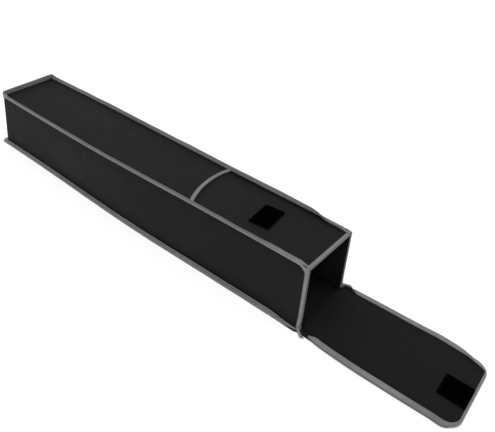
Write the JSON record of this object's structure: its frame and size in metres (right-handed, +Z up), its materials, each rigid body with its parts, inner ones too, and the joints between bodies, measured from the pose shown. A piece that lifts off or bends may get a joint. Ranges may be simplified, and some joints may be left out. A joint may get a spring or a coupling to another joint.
{
  "type": "gift wrap organizer",
  "caption": "Long soft-sided storage box for gift wrap rolls, with a bound-edge fold-over lid, flat top pocket, hook and loop closure and a webbing handle.",
  "frame": {"origin": "middle of the box's underside, on the floor, without the lid", "axes": "+X along the box to the mouth and the open lid, +Y to the back, +Z up"},
  "size_m": [1.3628, 0.176, 0.1602],
  "materials": {
    "outer_cloth": "matt woven polyester",
    "inner_cloth": "matt woven polyester",
    "stiffener_board": "plain board, sewn in",
    "binding_tape": "ribbed grosgrain tape",
    "hook_and_loop": "dense pile",
    "webbing": "ribbed woven webbing"
  },
  "bodies": {
    "box": {"bottom_panel": "outer_cloth", "bottom_board": "stiffener_board", "bottom_lining": "inner_cloth", "bottom_seam_binding": "binding_tape", "side_wall_wrap": "outer_cloth", "front_board": "stiffener_board", "back_board": "stiffener_board", "end_board": "stiffener_board", "side_lining": "inner_cloth", "top_panel": "outer_cloth", "top_board": "stiffener_board", "top_lining": "inner_cloth", "top_seam_binding": "binding_tape", "pocket_panel": "outer_cloth", "pocket_mouth_binding": "binding_tape", "mouth_binding": "binding_tape", "loop_patch": "hook_and_loop"},
    "lid_end": {"lid_end_panel": "outer_cloth", "lid_end_board": "stiffener_board", "lid_end_lining": "inner_cloth", "lid_end_binding_front": "binding_tape", "lid_end_binding_back": "binding_tape", "handle_tail_front": "webbing", "handle_tail_back": "webbing"},
    "tongue": {"tongue_panel": "outer_cloth", "tongue_board": "stiffener_board", "tongue_lining": "inner_cloth", "tongue_binding": "binding_tape", "hook_patch": "hook_and_loop"},
    "handle": {"handle_strap": "webbing"}
  },
  "joints": [
    {"name": "lid_hinge", "type": "hinge", "parent": "box", "child": "lid_end", "pos_m": [0.5203, 0, 0.008], "axis": [0, -1, 0], "range_deg": [0, 90]},
    {"name": "tongue_fold", "type": "hinge", "parent": "lid_end", "child": "tongue", "pos_m": [0.6663, 0, 0.008], "axis": [0, -1, 0], "range_deg": [0, 90]},
    {"name": "handle_fold", "type": "hinge", "parent": "lid_end", "child": "handle", "pos_m": [0.5763, 0, 0.00125], "axis": [0, -1, 0], "range_deg": [0, 170]}
  ]
}
